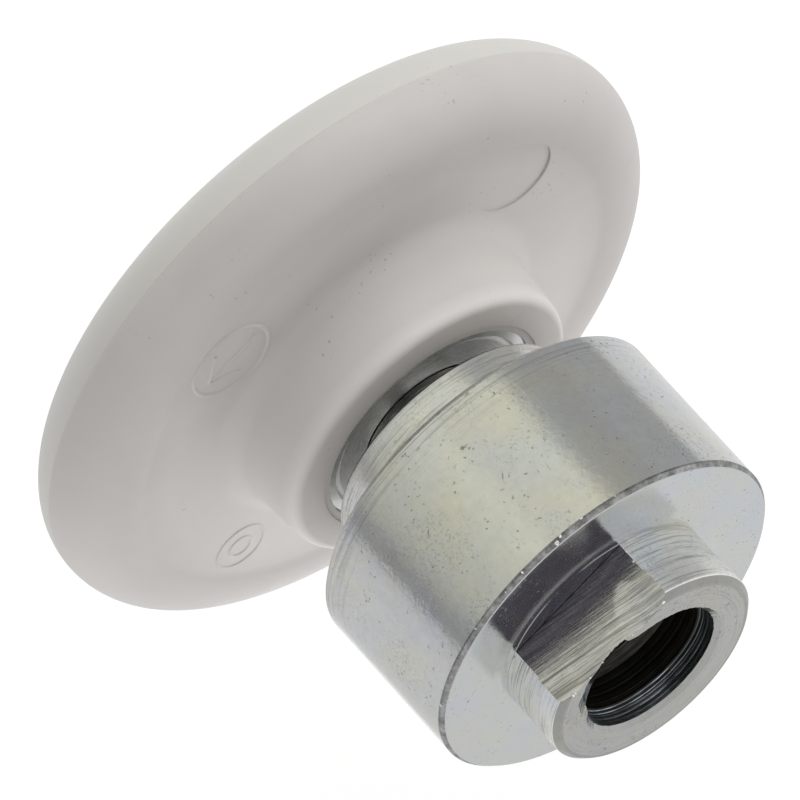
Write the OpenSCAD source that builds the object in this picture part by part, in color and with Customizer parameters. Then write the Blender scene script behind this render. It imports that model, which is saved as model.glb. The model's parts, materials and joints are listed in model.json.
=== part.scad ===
// Door roller: a round-rimmed moulded wheel turns on two ball bearings, carried by a turned steel spacer.
// The wheel's axis lies along Y. The origin is the centre of the spacer's shoulder, which seats on the
// door hanger's plate. The boss points along -Y, through the plate, and its milled flat faces +Z.

/* [Spacer] */
// Diameter of the large body
spacer_d = 33.5; // [30:0.1:38]
// Length of the large body, from the shoulder to the collar
spacer_l = 16.2; // [8:0.1:30]
// Chamfer on both rims of the large body
rim_chamfer = 0.5; // [0.2:0.1:1]
// Diameter of the collar behind the large body
collar_d = 22.6; // [16:0.1:26]
// Length of the collar
collar_l = 5; // [2:0.1:10]
// Chamfer on the collar's end
collar_chamfer = 0.3; // [0.1:0.1:0.8]
// Diameter of the neck that bears on the inner ring
neck_d = 11; // [9.6:0.1:11.8]
// Gap between the collar and the wheel's hub
hub_gap = 2.2; // [0.5:0.1:6]

/* [Boss] */
// Diameter of the boss that locates in the hanger plate
boss_d = 20.3; // [18.6:0.1:24]
// Length of the boss
boss_l = 6.4; // [5:0.1:12]
// Chamfer on the boss's end
boss_chamfer = 0.5; // [0.2:0.1:0.8]
// Depth of the relief turned into the boss next to the shoulder
boss_relief = 0.1; // [0.05:0.05:0.6]
// Length of that relief
boss_relief_l = 3.2; // [1:0.1:4]
// Distance from the axis to the milled flat
flat_distance = 8; // [7.5:0.1:8.6]
// Height of the milled floor above the shoulder
flat_floor = 0.1; // [0.05:0.05:0.6]

/* [Threaded bore] */
// Diameter of the core hole of the M12 thread
thread_core_d = 10.2; // [8.5:0.1:11]
// Usable length of the thread, from the shoulder's plane
thread_l = 12; // [8:0.1:14]
// Diameter of the plain entry bore, through the boss
entry_d = 12.6; // [12.2:0.1:12.8]
// Diameter of the counterbore at the mouth
mouth_d = 13; // [12.9:0.1:13.8]
// Depth of the counterbore
mouth_l = 2.2; // [1:0.1:3]
// Chamfer at the mouth
mouth_chamfer = 0.45; // [0.1:0.05:0.5]

/* [Wheel] */
// Diameter over the tread
wheel_d = 60; // [54:0.5:80]
// Radius of the round rim
rim_r = 4.7; // [4:0.1:5.5]
// Distance from the hub's near face to the middle of the tread
tread_offset = 12.3; // [11:0.1:14]
// Diameter of the hub at its near face
hub_d = 28; // [26.4:0.1:32]
// Draft angle of the hub's side
hub_draft = 5; // [1:0.5:8]
// Radius of the hub's near edge
hub_edge_r = 0.9; // [0.3:0.1:1.5]
// Radius of the fillet between the hub and the web
hub_fillet = 2.2; // [1:0.1:3]
// Radius of the fillet between the near web and the rim
rim_fillet_r = 3; // [1:0.5:4]
// Depth of the near web below the rim's crest
web_dip = 0.3; // [0.1:0.05:0.8]
// Depth of the ring-shaped recess in the far face
far_recess = 2.5; // [1:0.1:3]
// Corner radius in the far recess
recess_fillet = 1; // [0.3:0.1:1.2]
// Thickness of the lips that hold the bearings
lip_t = 0.5; // [0.3:0.05:1]
// How far the lips reach in over the outer rings
lip_reach = 0.65; // [0.3:0.05:0.8]
// Depth of the step around the near lip
lip_step = 0.15; // [0.05:0.05:0.3]

/* [Ball bearing] */
// Bore of the bearing
bearing_bore = 8; // [8:0.5:8.5]
// Outside diameter of the bearing
bearing_d = 22; // [22:0.5:24]
// Width of the bearing
bearing_w = 7; // [7:0.5:9]
// Ball diameter
ball_d = 3.969; // [3.8:0.001:4.1]
// Number of balls
ball_count = 7; // [6:1:8]
// Clearance between a ball and its raceways
race_gap = 0.07; // [0.02:0.01:0.15]
// Depth of the raceway grooves
groove_depth = 0.48; // [0.3:0.02:0.6]
// Radial depth of the shields' seats in the outer ring
shield_seat = 0.5; // [0.3:0.05:0.6]
// Chamfer on the rings' edges
ring_chamfer = 0.3; // [0.1:0.05:0.4]

/* [Cage and shields] */
// Thickness of the pressed cage halves
cage_t = 0.35; // [0.25:0.05:0.4]
// Clearance between the cage and the rings
cage_gap = 0.7; // [0.5:0.05:0.9]
// Clearance between a ball and its pocket
pocket_gap = 0.05; // [0.02:0.01:0.1]
// Diameter of the cage rivets' shanks
rivet_d = 0.7; // [0.5:0.05:0.8]
// Diameter of the cage rivets' heads
rivet_head_d = 1.1; // [0.9:0.05:1.2]
// Height of the cage rivets' heads
rivet_head_h = 0.25; // [0.15:0.05:0.35]
// Thickness of the shields
shield_t = 0.3; // [0.2:0.05:0.35]
// Depth of the shields below the rings' faces
shield_depth = 0.3; // [0.2:0.05:0.35]
// Clearance between a shield and the inner ring
shield_gap = 0.25; // [0.15:0.05:0.4]

/* [Retaining ring] */
// Thickness of the retaining ring
clip_t = 0.8; // [0.6:0.1:1]
// Depth of its groove in the spigot
clip_groove_depth = 0.2; // [0.1:0.05:0.3]
// Axial clearance of the ring in its groove
clip_gap = 0.1; // [0.05:0.05:0.2]
// Radial width of the ring opposite its gap
clip_w = 1.5; // [1.2:0.1:1.8]
// Diameter of the pliers' holes in its ears
clip_hole_d = 1; // [0.8:0.1:1.2]
// Length of spigot past the groove
spigot_end = 0.9; // [0.5:0.1:1.5]

/* [Hidden] */
$fn = 96;
eps = 0.01;
lap = 0.2;
steel = "silver";
BEARINGS = ["near", "far"];

// Places along the axis, measured from the shoulder
collar_end = spacer_l + collar_l;
hub_face = collar_end + hub_gap;
near_bearing = hub_face + lip_t;
far_bearing = near_bearing + bearing_w;
bearings_end = far_bearing + bearing_w;
tread_y = hub_face + tread_offset;
near_crest = tread_y - rim_r;
far_crest = tread_y + rim_r;
near_web = near_crest + web_dip;
far_web = far_crest - far_recess;
groove_end = bearings_end + clip_t + clip_gap;
spigot_tip = groove_end + spigot_end;

// Radii
rim_centre = wheel_d / 2 - rim_r;
hub_root = hub_d / 2 + (near_web - hub_face) * tan(hub_draft);
far_hub_r = hub_root - far_recess * tan(hub_draft);
lip_r = bearing_d / 2 - lip_reach;
pitch_r = (bearing_bore + bearing_d) / 4;
race_r = ball_d / 2 + race_gap;
inner_land_r = pitch_r - ball_d / 2 + groove_depth;
outer_land_r = pitch_r + ball_d / 2 - groove_depth;
shield_r = outer_land_r + shield_seat;
cage_in = inner_land_r + cage_gap;
cage_out = outer_land_r - cage_gap;
pocket_r = ball_d / 2 + pocket_gap;
clip_in = bearing_bore / 2 - clip_groove_depth;

function bearing_start(b) = b == "near" ? near_bearing : far_bearing;

function heading(angle) = [cos(angle), sin(angle)];

// The points that carry an outline past a fillet between two faces: its end on the face that leaves the
// corner in direction a, the middle of its circle, and its end on the face in direction b
function fillet(at, a, b, r) = [
    at + heading(a) * r * (1 + cos(b - a)) / abs(sin(b - a)),
    at + (heading(a) + heading(b)) * r / abs(sin(b - a)),
    at + heading(b) * r * (1 + cos(b - a)) / abs(sin(b - a))
];

// The same points for a fillet between a web's face and the round rim: side is -1 near and 1 far
function rim_fillet(web, side, r) =
    let (
        rim = [rim_centre, tread_y],
        y = web + side * r,
        x = rim_centre - sqrt(pow(rim_r + r, 2) - pow(y - tread_y, 2))
    )
    [[x, web], [x, y], rim + ([x, y] - rim) * rim_r / (rim_r + r)];

// A profile drawn as [radius, place along the axis], turned about Y
module turned() {
    rotate([-90, 0, 0]) rotate_extrude() children();
}

// A straight round bar along Y
module bar(r, from, to, radius_to = undef) {
    translate([0, from, 0]) rotate([-90, 0, 0])
        cylinder(r1 = r, r2 = is_undef(radius_to) ? r : radius_to, h = to - from);
}

// A rectangle in the profile plane, from one corner to the other
module box2d(r1, y1, r2, y2) {
    translate([r1, y1]) square([r2 - r1, y2 - y1]);
}

// The area that a convex corner loses when it is rounded: at is the corner's place, a and b are the
// directions in which its two faces leave it, and r is the radius
module corner(at, a, b, r) {
    u = heading(a);
    w = heading(b);
    tangents = fillet(at, a, b, r);
    difference() {
        polygon([at - (u + w) * lap, tangents[0] - w * lap, tangents[1], tangents[2] - u * lap]);
        translate(tangents[1]) circle(r);
    }
}

// Seven equal places around the axis, for balls and pockets; turn shifts them by a share of one step
module around(turn = 0) {
    for (i = [0:ball_count - 1])
        rotate([0, (i + turn) * 360 / ball_count, 0]) translate([0, 0, pitch_r]) children();
}

// ---- Spacer: one turned piece from the boss to the spigot ----

module spacer_outline() {
    boss_r = boss_d / 2;
    relief_r = boss_r - boss_relief;
    body_r = spacer_d / 2;
    collar_r = collar_d / 2;
    spigot_r = bearing_bore / 2;
    polygon([
        [0, -boss_l],
        [boss_r - boss_chamfer, -boss_l],
        [boss_r, boss_chamfer - boss_l],
        [boss_r, -boss_relief_l],
        [relief_r, boss_relief - boss_relief_l],
        [relief_r, -boss_relief],
        [boss_r, 0],
        [body_r - rim_chamfer, 0],
        [body_r, rim_chamfer],
        [body_r, spacer_l - rim_chamfer],
        [body_r - rim_chamfer, spacer_l],
        [collar_r, spacer_l],
        [collar_r, collar_end - collar_chamfer],
        [collar_r - collar_chamfer, collar_end],
        [neck_d / 2, collar_end],
        [neck_d / 2, near_bearing],
        [spigot_r, near_bearing],
        [spigot_r, bearings_end],
        [clip_in, bearings_end],
        [clip_in, groove_end],
        [spigot_r, groove_end],
        [spigot_r, spigot_tip - ring_chamfer],
        [spigot_r - ring_chamfer, spigot_tip],
        [0, spigot_tip]
    ]);
}

module bore_outline() {
    core_r = thread_core_d / 2;
    entry_r = entry_d / 2;
    mouth_r = mouth_d / 2;
    mouth_end = mouth_l - boss_l;
    drill_tip = core_r / tan(59);
    polygon([
        [0, -boss_l - eps],
        [mouth_r + mouth_chamfer + eps, -boss_l - eps],
        [mouth_r, mouth_chamfer - boss_l],
        [mouth_r, mouth_end],
        [entry_r, mouth_end + mouth_r - entry_r],
        [entry_r, core_r - entry_r],
        [core_r, 0],
        [core_r, thread_l],
        [0, thread_l + drill_tip]
    ]);
}

// The material that the milling cutter takes off the boss
module milled_flat() {
    translate([-boss_d, -boss_l - 1, flat_distance])
        cube([2 * boss_d, boss_l + 1 - flat_floor, boss_d]);
}

module spacer() {
    color("lightgray") difference() {
        turned() difference() {
            spacer_outline();
            bore_outline();
        }
        milled_flat();
    }
}

// ---- Wheel: one moulding around both bearings ----

module wheel_outline() {
    near_hub = fillet([hub_root, near_web], -90 - hub_draft, 0, hub_fillet);
    near_rim = rim_fillet(near_web, -1, rim_fillet_r);
    far_rim = rim_fillet(far_web, 1, recess_fillet);
    far_hub = fillet([hub_root, far_web], 0, 90 + hub_draft, recess_fillet);
    difference() {
        union() {
            translate([rim_centre, tread_y]) circle(rim_r);
            polygon(concat(
                [[lip_r, hub_face], [hub_d / 2, hub_face]],
                near_hub, near_rim, [[rim_centre, tread_y]], [far_rim[2], far_rim[1], far_rim[0]], far_hub,
                [[far_hub_r, far_crest], [lip_r, far_crest]]
            ));
        }
        translate(near_hub[1]) circle(hub_fillet);
        translate(near_rim[1]) circle(rim_fillet_r);
        translate(far_rim[1]) circle(recess_fillet);
        translate(far_hub[1]) circle(recess_fillet);
        corner([hub_d / 2, hub_face], 180, 90 - hub_draft, hub_edge_r);
        corner([far_hub_r, far_crest], 180, hub_draft - 90, recess_fillet / 2);
        box2d(lip_r - lap, hub_face - lap, bearing_d / 2, hub_face + lip_step);
        box2d(0, near_bearing, bearing_d / 2, bearings_end);
        polygon([
            [0, bearings_end + lip_t],
            [lip_r, bearings_end + lip_t],
            [bearing_d / 2, far_crest],
            [bearing_d / 2, far_crest + lap],
            [0, far_crest + lap]
        ]);
    }
}

module wheel() {
    color("white") turned() wheel_outline();
}

// ---- Ball bearings ----

module outer_ring(b) {
    color(steel) translate([0, bearing_start(b), 0]) turned() difference() {
        polygon([
            [outer_land_r, 0],
            [bearing_d / 2 - ring_chamfer, 0],
            [bearing_d / 2, ring_chamfer],
            [bearing_d / 2, bearing_w - ring_chamfer],
            [bearing_d / 2 - ring_chamfer, bearing_w],
            [outer_land_r, bearing_w]
        ]);
        translate([pitch_r, bearing_w / 2]) circle(race_r);
        for (side = [0, 1])
            translate([0, side * bearing_w]) scale([1, side ? -1 : 1])
                box2d(0, -eps, shield_r, shield_depth + 2 * shield_t);
    }
}

module inner_ring(b) {
    color(steel) translate([0, bearing_start(b), 0]) turned() difference() {
        polygon([
            [bearing_bore / 2, 0],
            [inner_land_r - ring_chamfer, 0],
            [inner_land_r, ring_chamfer],
            [inner_land_r, bearing_w - ring_chamfer],
            [inner_land_r - ring_chamfer, bearing_w],
            [bearing_bore / 2, bearing_w]
        ]);
        translate([pitch_r, bearing_w / 2]) circle(race_r);
    }
}

// A pressed disc whose rim is curled into its seat
module shield(b, side) {
    seat_end = shield_depth + 2 * shield_t;
    color(steel) translate([0, bearing_start(b) + side * bearing_w, 0]) scale([1, side ? -1 : 1, 1]) turned()
        polygon([
            [inner_land_r + shield_gap, shield_depth],
            [shield_r - 2 * shield_t, shield_depth],
            [shield_r - shield_t, shield_depth - shield_t / 2],
            [shield_r, shield_depth],
            [shield_r, seat_end],
            [shield_r - shield_t, seat_end],
            [shield_r - 2 * shield_t, shield_depth + shield_t],
            [inner_land_r + shield_gap, shield_depth + shield_t]
        ]);
}

module ball(b, i) {
    color(steel) translate([0, bearing_start(b) + bearing_w / 2, 0])
        rotate([0, (i - 1) * 360 / ball_count, 0]) translate([0, 0, pitch_r])
            sphere(d = ball_d, $fn = 48);
}

// One cup of the cage: half a ball's shell, open towards the other half of the cage
module cup() {
    rotate([-90, 0, 0]) rotate_extrude($fn = 48) intersection() {
        circle(pocket_r + cage_t);
        square(bearing_w);
    }
}

// Half of the riveted cage: flat lands between the balls and a round cup over each ball
module cage_half(b, side) {
    color("darkgray") translate([0, bearing_start(b) + bearing_w / 2, 0]) scale([1, side ? 1 : -1, 1])
        difference() {
            intersection() {
                union() {
                    bar(cage_out, 0, cage_t);
                    around() cup();
                }
                difference() {
                    bar(cage_out, -eps, bearing_w / 2);
                    bar(cage_in, -2 * eps, bearing_w / 2 + eps);
                }
            }
            around() sphere(r = pocket_r, $fn = 48);
            around(0.5) bar(rivet_d / 2, -eps, bearing_w / 2);
        }
}

module cage_rivets(b) {
    color("gray") translate([0, bearing_start(b) + bearing_w / 2, 0]) around(0.5) {
        bar(rivet_d / 2, -cage_t, cage_t);
        bar(rivet_head_d / 2, cage_t, cage_t + rivet_head_h);
        bar(rivet_head_d / 2, -cage_t - rivet_head_h, -cage_t);
    }
}

// ---- Retaining ring: sprung open over the spigot's end, its gap and ears facing down ----

module retaining_ring() {
    ear_r = clip_hole_d / 2 + 0.7;
    ear_angle = 24;
    ear_place = clip_in + ear_r;
    color("dimgray") translate([0, bearings_end, 0]) difference() {
        union() {
            bar(clip_in + clip_w, 0, clip_t);
            for (s = [-1, 1])
                rotate([0, s * ear_angle, 0]) translate([0, 0, -ear_place]) bar(ear_r, 0, clip_t);
        }
        bar(clip_in, -eps, clip_t + eps);
        for (s = [-1, 1])
            rotate([0, s * ear_angle, 0]) translate([0, 0, -ear_place]) bar(clip_hole_d / 2, -eps, clip_t + eps);
        translate([-ear_r / 2, -eps, -2 * bearing_bore])
            cube([ear_r, clip_t + 2 * eps, 2 * bearing_bore]);
    }
}

spacer();
wheel();
retaining_ring();
for (b = BEARINGS) {
    outer_ring(b);
    inner_ring(b);
    shield(b, 0);
    shield(b, 1);
    cage_half(b, 0);
    cage_half(b, 1);
    cage_rivets(b);
    for (i = [1:ball_count])
        ball(b, i);
}
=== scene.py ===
import json
import math

import bmesh
import bpy
import numpy as np
from mathutils import Matrix, Vector


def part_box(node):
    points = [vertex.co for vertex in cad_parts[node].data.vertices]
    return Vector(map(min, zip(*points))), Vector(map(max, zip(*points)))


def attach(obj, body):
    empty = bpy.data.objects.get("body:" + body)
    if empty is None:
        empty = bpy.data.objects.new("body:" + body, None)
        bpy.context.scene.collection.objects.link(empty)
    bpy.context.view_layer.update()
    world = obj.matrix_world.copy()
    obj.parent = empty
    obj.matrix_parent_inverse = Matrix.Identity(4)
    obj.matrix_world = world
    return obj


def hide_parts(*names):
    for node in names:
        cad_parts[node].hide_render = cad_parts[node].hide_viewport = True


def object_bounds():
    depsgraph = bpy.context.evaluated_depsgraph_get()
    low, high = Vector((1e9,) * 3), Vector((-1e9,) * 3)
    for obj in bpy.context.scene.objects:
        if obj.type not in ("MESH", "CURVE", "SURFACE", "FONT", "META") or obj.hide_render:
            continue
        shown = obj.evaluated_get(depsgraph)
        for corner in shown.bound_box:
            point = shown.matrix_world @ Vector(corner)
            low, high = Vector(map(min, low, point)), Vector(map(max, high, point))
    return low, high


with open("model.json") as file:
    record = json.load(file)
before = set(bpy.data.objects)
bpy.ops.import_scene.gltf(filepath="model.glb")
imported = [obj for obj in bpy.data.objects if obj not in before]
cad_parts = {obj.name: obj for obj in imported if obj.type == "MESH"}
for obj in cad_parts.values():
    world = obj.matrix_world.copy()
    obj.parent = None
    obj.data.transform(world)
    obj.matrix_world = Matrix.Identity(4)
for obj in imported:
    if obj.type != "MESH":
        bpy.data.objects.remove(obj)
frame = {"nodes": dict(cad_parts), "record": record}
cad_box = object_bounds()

MM = 0.001
SEGMENTS = 340          # round the axis, on the spacer and the wheel
FLAT_SEGMENTS = 80      # those of them that the milled flat takes
MERGE = 1e-7            # points closer than this become one, in metres
SHARP = 28              # edges that bend by more than this stay sharp, in degrees
MARK_SHARP = 50         # the same on the wheel's marks
AXIS_R = 0.02           # the last loop before the axis

# ---- Sizes in millimetres: from the frame, repeated from the part, or fine detail that is only here ----


def span(node):
    """Where a node starts and ends along the axis, and its radius."""
    lo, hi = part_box(node)
    return lo.y / MM, hi.y / MM, hi.x / MM


BOSS_END, SPIGOT_TIP, BODY_R = span("spacer")
HUB_FACE, FAR_CREST, WHEEL_R = span("wheel")
BEARING_START, _, BEARING_R = span("near_outer_ring")
BEARINGS_END = span("far_outer_ring")[1]
CLIP_END = span("retaining_ring")[1]

BODY_END = 16.2
RIM_CHAMFER = 0.35
REAR_CHAMFER = 0.5
COLLAR_R = 11.3
COLLAR_END = 21.2
COLLAR_CHAMFER = 0.3
NECK_R = 5.5
SPIGOT_R = 4
CLIP_GROOVE_R = 3.8
CLIP_GROOVE_END = CLIP_END + 0.1
SPIGOT_CHAMFER = 0.3
BOSS_R = 10.15
BOSS_CHAMFER = 0.5
RELIEF = 0.1
ROOT_STEP = 0.05        # a low round step on the shoulder, round the boss
ROOT_R = 11.0
ROOT_OUTER_R = 11.16
RELIEF_END = -3.2
FLAT = 8.0
FLAT_FLOOR = -0.1
MILLING_SLANT = 0.21    # the milling marks run along y + this * x
FLAT_SLOPE = 0.03       # the flat falls this little towards the boss's end
CORE_R = 5.1
DRILL_POINT = math.radians(59)      # half the angle of the hole's pointed end
THREAD_END = 12
THREAD_DEPTH = 0.9
THREAD_PITCH = 1.75
THREAD_LOOPS = 84
THREAD_MARGIN = 0.05    # from the thread's first and last loop to its ends
THREAD_BOTTOM = 1.2     # above 1 the groove has a flat bottom
THREAD_STEEP = 2.6      # how fast its sides rise, by pitch
ENTRY_R = 6.3
MOUTH_R = 6.5
MOUTH_L = 2.2
MOUTH_CHAMFER = 0.45
SCRATCH = 0.05          # half the width of a scratch that the tool left round the bore
HIGHLIGHT_TURN = 0.35     # where the painted highlight in the bore is centred, round from straight below, in radians

RIM_R = 4.7
TREAD_Y = FAR_CREST - RIM_R
RIM_CENTRE = WHEEL_R - RIM_R
HUB_R = 14
HUB_DRAFT = math.radians(5)
HUB_EDGE_R = 0.9
HUB_FILLET = 2.2
RIM_FILLET = 3
NEAR_DISH = 0.3         # from the rim's near crest to the web
FAR_DISH = 2.5
NEAR_WEB = TREAD_Y - RIM_R + NEAR_DISH
FAR_WEB = FAR_CREST - FAR_DISH
FAR_FILLET = 1
SEAM_ANGLE = 1.2        # half of the flat seam round the tread, in degrees on the rim's section
SEAM_DEPTH = 0.05
LIP_OVERLAP = 0.65      # how far the lips reach over the bearings
LIP_R = BEARING_R - LIP_OVERLAP
LIP_T = 0.5
LIP_STEP = 0.15
HUB_ROOT = HUB_R + (NEAR_WEB - HUB_FACE) * math.tan(HUB_DRAFT)
FAR_HUB_R = HUB_ROOT - (FAR_CREST - FAR_WEB) * math.tan(HUB_DRAFT)

# ---- Outlines: lists of (radius, place along the axis) ----


def arc(centre, r, start, end, steps):
    """Points on a circle in the outline's plane, from one angle to another, in degrees."""
    angles = np.radians(np.linspace(start, end, steps + 1))
    return [(centre[0] + r * math.cos(a), centre[1] + r * math.sin(a)) for a in angles]


def rounded(corners, steps=5):
    """An outline through corners given as (radius, place[, rounding])."""
    points = []
    for i, corner in enumerate(corners):
        at = Vector(corner[:2])
        r = corner[2] if len(corner) > 2 else 0
        if not r or i in (0, len(corners) - 1):
            points.append(tuple(at))
            continue
        before = (Vector(corners[i - 1][:2]) - at).normalized()
        after = (Vector(corners[i + 1][:2]) - at).normalized()
        half = before.angle(after) / 2
        centre = at + (before + after).normalized() * r / math.sin(half)
        first = at + before * r / math.tan(half) - centre
        last = at + after * r / math.tan(half) - centre
        turn = first.angle_signed(last)
        for k in range(steps + 1):
            spoke = Matrix.Rotation(-turn * k / steps, 2) @ first
            points.append(tuple(centre + spoke))
    return points


def subdivided(points, step):
    """The same outline with no stretch longer than step."""
    result = [points[0]]
    for a, b in zip(points, points[1:]):
        n = max(1, math.ceil(math.dist(a, b) / step))
        result += [tuple(np.add(a, np.subtract(b, a) * k / n)) for k in range(1, n + 1)]
    return result


# ---- Meshes ----


def even_angles():
    """Angles round the axis, from +Z towards +X, that start where the flat's left edge is."""
    start = -math.pi * FLAT_SEGMENTS / SEGMENTS
    return start + np.arange(SEGMENTS) * 2 * math.pi / SEGMENTS


def ring(r, y, angles=None):
    """One loop of points round the axis."""
    a = even_angles() if angles is None else angles
    r = np.broadcast_to(r, a.shape)
    y = np.broadcast_to(y, a.shape)
    return np.stack([r * np.sin(a), y, r * np.cos(a)], axis=1)


def smooth(mesh, sharp):
    """Smooth shading, but for edges that bend by more than sharp, in degrees."""
    mesh.polygons.foreach_set("use_smooth", [True] * len(mesh.polygons))
    mesh.set_sharp_from_angle(angle=math.radians(sharp))


def placed(name, data):
    """An object in the scene that shows a mesh, a lamp or a camera."""
    obj = bpy.data.objects.new(name, data)
    bpy.context.scene.collection.objects.link(obj)
    return obj


def solid(name, points, faces):
    """A mesh from points in millimetres, with its faces turned outwards."""
    mesh = bpy.data.meshes.new(name)
    mesh.from_pydata((points * MM).tolist(), [], faces)
    bm = bmesh.new()
    bm.from_mesh(mesh)
    bmesh.ops.recalc_face_normals(bm, faces=bm.faces)
    bm.to_mesh(mesh)
    bm.free()
    return mesh


def loft(name, loops, zones=None, closed=False):
    """An object through loops of points in millimetres.

    zones gives the material index of each strip, or of each of its faces.
    """
    count, n = len(loops), len(loops[0])
    mesh = bpy.data.meshes.new(name)
    points = np.concatenate(loops) * MM
    strips = count if closed else count - 1
    i = np.repeat(np.arange(strips), n)
    j = np.tile(np.arange(n), strips)
    k = (j + 1) % n
    i2 = (i + 1) % count
    faces = np.stack([i * n + j, i * n + k, i2 * n + k, i2 * n + j], axis=1)
    mesh.from_pydata(points.tolist(), [], faces.tolist())
    if zones is not None:
        index = np.concatenate([np.broadcast_to(zone, n) for zone in zones]).astype(np.int32)
        mesh.polygons.foreach_set("material_index", index)
    bm = bmesh.new()
    bm.from_mesh(mesh)
    bmesh.ops.remove_doubles(bm, verts=bm.verts, dist=MERGE)
    bmesh.ops.dissolve_degenerate(bm, dist=MERGE, edges=bm.edges)
    bmesh.ops.holes_fill(bm, edges=[edge for edge in bm.edges if edge.is_boundary])
    bmesh.ops.recalc_face_normals(bm, faces=bm.faces)
    bm.to_mesh(mesh)
    bm.free()
    smooth(mesh, SHARP)
    return placed(name, mesh)


# ---- Materials. Noise scales are per metre, and bump distances are in metres. ----


class Shader:
    """A material, or the world, with short ways to add and link its nodes."""

    def __init__(self, owner):
        owner.use_nodes = True
        self.owner = owner
        self.tree = owner.node_tree
        self.tree.nodes.clear()

    def add(self, kind, outputs=0, **settings):
        node = self.tree.nodes.new(kind)
        inputs = settings.pop("inputs", {})
        for key, value in settings.items():
            setattr(node, key, value)
        for key, value in inputs.items():
            self.set(node.inputs[key], value)
        return node.outputs[outputs]

    def set(self, socket, value):
        if isinstance(value, bpy.types.NodeSocket):
            self.tree.links.new(value, socket)
        elif isinstance(value, bpy.types.Node):
            self.tree.links.new(value.outputs[0], socket)
        else:
            socket.default_value = value

    def math(self, operation, a, b=0.0, c=0.0):
        return self.add("ShaderNodeMath", operation=operation, inputs={0: a, 1: b, 2: c})

    def place(self):
        return self.add("ShaderNodeTexCoord", outputs="Object")

    def xyz(self, vector):
        node = self.tree.nodes.new("ShaderNodeSeparateXYZ")
        self.set(node.inputs[0], vector)
        return node.outputs

    def vector(self, x, y, z):
        return self.add("ShaderNodeCombineXYZ", inputs={0: x, 1: y, 2: z})

    def noise(self, vector, scale, detail=3.0, rough=0.5):
        return self.add(
            "ShaderNodeTexNoise",
            inputs={"Vector": vector, "Scale": scale, "Detail": detail, "Roughness": rough},
        )

    def ramp(self, value, stops):
        """Colours by value. stops gives each place with its colour or its grey tone."""
        node = self.tree.nodes.new("ShaderNodeValToRGB")
        elements = node.color_ramp.elements
        while len(elements) < len(stops):
            elements.new(0.5)
        for element, (at, colour) in zip(elements, stops):
            element.position = at
            element.color = (*colour, 1) if isinstance(colour, tuple) else grey(colour)
        self.set(node.inputs[0], value)
        return node.outputs[0]

    def between(self, value, low, high, to_low=0.0, to_high=1.0):
        """value mapped from one range to another, and held at its ends."""
        inputs = {"Value": value, "From Min": low, "From Max": high, "To Min": to_low, "To Max": to_high}
        return self.add("ShaderNodeMapRange", inputs=inputs)

    def mix(self, share, a, b, blend="MIX"):
        inputs = {0: share, 6: a, 7: b}
        return self.add("ShaderNodeMix", outputs=2, data_type="RGBA", blend_type=blend, inputs=inputs)

    def mix_shaders(self, share, a, b):
        return self.add("ShaderNodeMixShader", inputs={0: share, 1: a, 2: b})

    def bump(self, height, strength, distance, normal=None):
        inputs = {"Height": height, "Strength": strength, "Distance": distance}
        if normal is not None:
            inputs["Normal"] = normal
        return self.add("ShaderNodeBump", inputs=inputs)

    def principled(self, **inputs):
        node = self.tree.nodes.new("ShaderNodeBsdfPrincipled")
        for key, value in inputs.items():
            self.set(node.inputs[key.replace("_", " ")], value)
        return node.outputs[0]

    def output(self, surface):
        kind = "World" if isinstance(self.owner, bpy.types.World) else "Material"
        self.set(self.tree.nodes.new("ShaderNodeOutput" + kind).inputs["Surface"], surface)
        return self.owner


def grey(v):
    return v, v, v, 1.0


def opaque(tint, share=1.0):
    """A colour for a socket from red, green and blue, times a share."""
    return (*[c * share for c in tint], 1)


LINE_DRIFT = 0.0003     # how little a turned line's noise moves on in one radian round the axis


def turned(s, fine):
    """Lines that a lathe tool leaves: noise that changes along the outline and hardly round the axis."""
    x, y, z = s.xyz(s.place())
    r = s.math("SQRT", s.math("ADD", s.math("MULTIPLY", x, x), s.math("MULTIPLY", z, z)))
    round_axis = s.math("ARCTAN2", x, z)
    around = s.math("MULTIPLY", round_axis, LINE_DRIFT)
    return s.noise(s.vector(r, y, around), fine, detail=5.0, rough=0.65)


ZINC = (0.765, 0.765, 0.745)
# The grey tones that flaws in the plating darken it towards.
STREAK_TONE, PIT_TONE, SPECK_TONE, MOTTLE_TONE, DENT_TONE = 0.22, 0.12, 0.25, 0.40, 0.16
LINES_FADE = 2.5        # the length over which the tool lines set in, in mm


def nicks(s, x, y, z, places):
    """Where the body has small dents.

    Each is (angle in degrees, y, length and width in mm, tilt from the axis in degrees).
    """
    around = s.math("MULTIPLY", s.math("ARCTAN2", x, z), BODY_R * MM)
    total = None
    for angle, along, length, width, tilt in places:
        aside = s.math("SUBTRACT", around, math.radians(angle) * BODY_R * MM)
        at = s.vector(aside, s.math("SUBTRACT", y, along * MM), 0)
        scaled = s.add("ShaderNodeMapping", vector_type="TEXTURE", inputs={
            "Vector": at, "Rotation": (0, 0, math.radians(-tilt)),
            "Scale": (width * MM / 2, length * MM / 2, 1)})
        r = s.add("ShaderNodeVectorMath", outputs="Value", operation="LENGTH", inputs={0: scaled})
        dent = s.between(r, 0.5, 1.1, 1.0, 0.0)
        total = dent if total is None else s.math("MAXIMUM", total, dent)
    return total


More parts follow.
